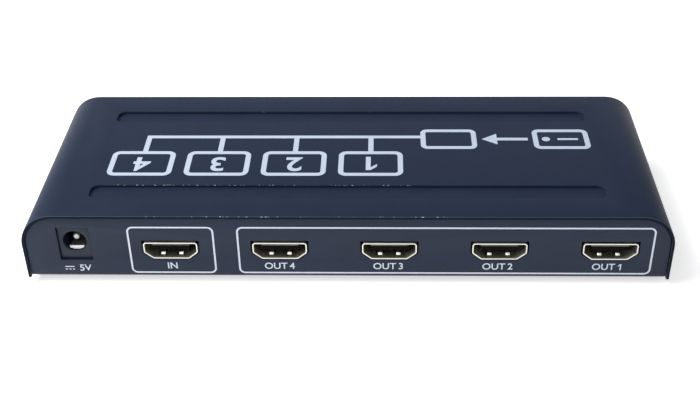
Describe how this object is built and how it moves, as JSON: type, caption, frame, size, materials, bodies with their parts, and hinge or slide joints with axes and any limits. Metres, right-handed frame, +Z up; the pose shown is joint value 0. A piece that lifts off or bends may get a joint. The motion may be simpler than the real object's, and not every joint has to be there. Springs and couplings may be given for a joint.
{
  "type": "video splitter",
  "caption": "Flat sheet-metal video splitter box: one digital video input, several outputs and a barrel power jack on one long side, indicator lamps on the other.",
  "frame": {"origin": "middle of the footprint, on the surface that the feet stand on", "axes": "+Z up, +X along the box away from the power jack, -Y out of the side with the sockets"},
  "size_m": [0.178, 0.0665, 0.0228],
  "materials": {
    "cover_paint": "satin dark blue-black powder coat",
    "chassis_paint": "satin dark blue-black powder coat",
    "black_screw": "black zinc",
    "plated_screw": "zinc plate",
    "standoff_brass": "plain brass",
    "foot_rubber": "matt",
    "board_laminate": "solder mask",
    "jack_plastic": "moulded",
    "jack_metal": "nickel plate",
    "tinned_lead": "tin plate",
    "chip_plastic": "moulded epoxy",
    "ferrite": "ferrite",
    "can_aluminium": "drawn can",
    "crystal_metal": "resistance-welded can",
    "resistor_ceramic": "glazed",
    "capacitor_ceramic": "ceramic",
    "shell_plating": "thin gold plate",
    "core_plastic": "moulded",
    "contact_gold": "gold plate",
    "lamp_epoxy": "clear epoxy"
  },
  "bodies": {
    "root": {"base_chassis": "chassis_paint", "board_screws": "plated_screw", "board_standoffs": "standoff_brass", "circuit_board": "board_laminate", "clock_crystal": "crystal_metal", "cover_screws": "black_screw", "dc_jack_body": "jack_plastic", "dc_jack_centre_pin": "jack_metal", "dc_jack_shunt_contact": "jack_metal", "dc_jack_spring_contact": "jack_metal", "input_capacitor": "can_aluminium", "input_led": "lamp_epoxy", "input_socket_contacts": "contact_gold", "input_socket_core": "core_plastic", "input_socket_shell": "shell_plating", "lamp_left_foot": "foot_rubber", "lamp_right_foot": "foot_rubber", "led_leads": "tinned_lead", "memory_chip": "chip_plastic", "memory_chip_pins": "tinned_lead", "output_1_led": "lamp_epoxy", "output_1_socket_contacts": "contact_gold", "output_1_socket_core": "core_plastic", "output_1_socket_shell": "shell_plating", "output_2_led": "lamp_epoxy", "output_2_socket_contacts": "contact_gold", "output_2_socket_core": "core_plastic", "output_2_socket_shell": "shell_plating", "output_3_led": "lamp_epoxy", "output_3_socket_contacts": "contact_gold", "output_3_socket_core": "core_plastic", "output_3_socket_shell": "shell_plating", "output_4_led": "lamp_epoxy", "output_4_socket_contacts": "contact_gold", "output_4_socket_core": "core_plastic", "output_4_socket_shell": "shell_plating", "output_capacitor": "can_aluminium", "port_left_foot": "foot_rubber", "port_right_foot": "foot_rubber", "power_inductor": "ferrite", "power_led": "lamp_epoxy", "protection_diode": "chip_plastic", "small_capacitors": "capacitor_ceramic", "small_resistors": "resistor_ceramic", "splitter_chip": "chip_plastic", "splitter_chip_pins": "tinned_lead", "top_cover": "cover_paint", "voltage_regulator": "chip_plastic", "voltage_regulator_leads": "tinned_lead"}
  },
  "joints": []
}
